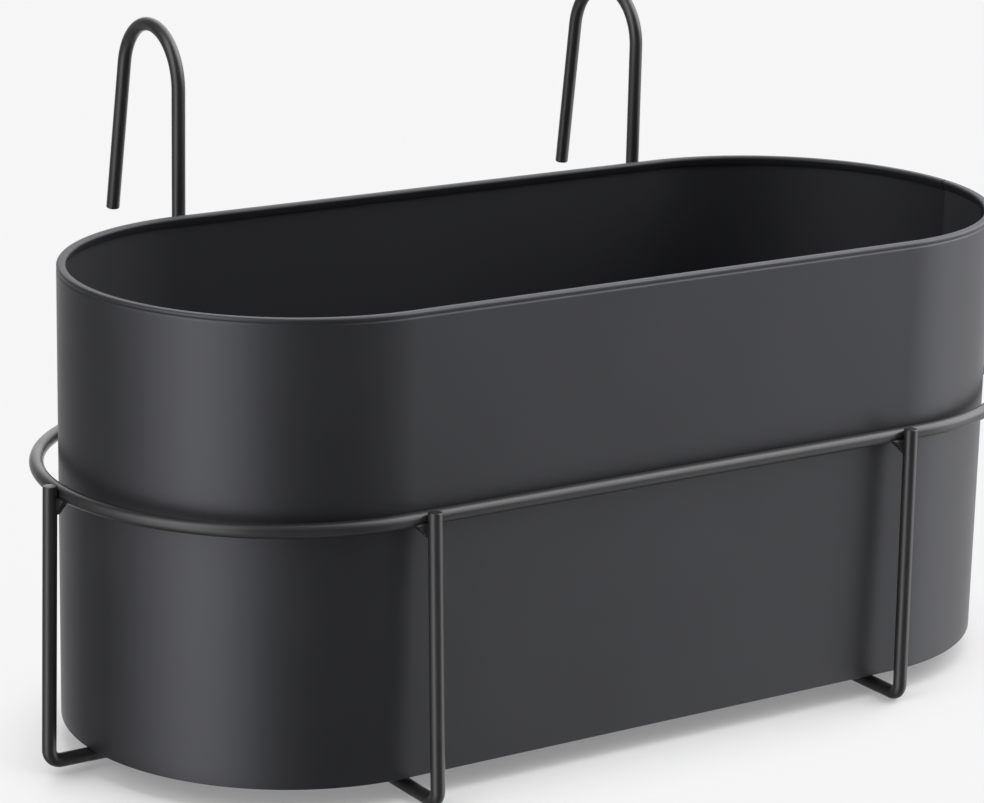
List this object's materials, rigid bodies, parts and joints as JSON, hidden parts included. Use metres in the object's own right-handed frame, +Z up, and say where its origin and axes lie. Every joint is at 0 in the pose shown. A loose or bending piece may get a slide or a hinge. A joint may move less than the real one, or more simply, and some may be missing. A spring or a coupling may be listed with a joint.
{
  "type": "railing planter",
  "caption": "Oval sheet-steel planting trough with a curled rim, standing loose in a round-wire holder with hooks that go over a railing.",
  "frame": {"origin": "on the floor, under the middle of the trough", "axes": "+X along the trough to the right as seen from the front, +Y to the back where the hooks are, +Z up"},
  "size_m": [0.403, 0.2367, 0.2372],
  "materials": {
    "trough_coat": "satin powder coat",
    "wire_coat": "satin powder coat"
  },
  "bodies": {
    "holder": {"ring_wire": "wire_coat", "cradle_wire": "wire_coat", "hanger_wire_left": "wire_coat", "hanger_wire_right": "wire_coat", "weld_ring_joint": "wire_coat", "weld_front_leg_left": "wire_coat", "weld_front_leg_right": "wire_coat", "weld_back_leg_left": "wire_coat", "weld_back_leg_right": "wire_coat", "weld_end_leg_left": "wire_coat", "weld_end_leg_right": "wire_coat", "weld_crossing_left": "wire_coat", "weld_crossing_right": "wire_coat"},
    "trough": {"trough_wall": "trough_coat", "trough_bottom": "trough_coat"}
  },
  "joints": [
    {"name": "trough_lift", "type": "slide", "parent": "holder", "child": "trough", "axis": [0, 0, 1], "range_m": [0, 0.235]}
  ]
}
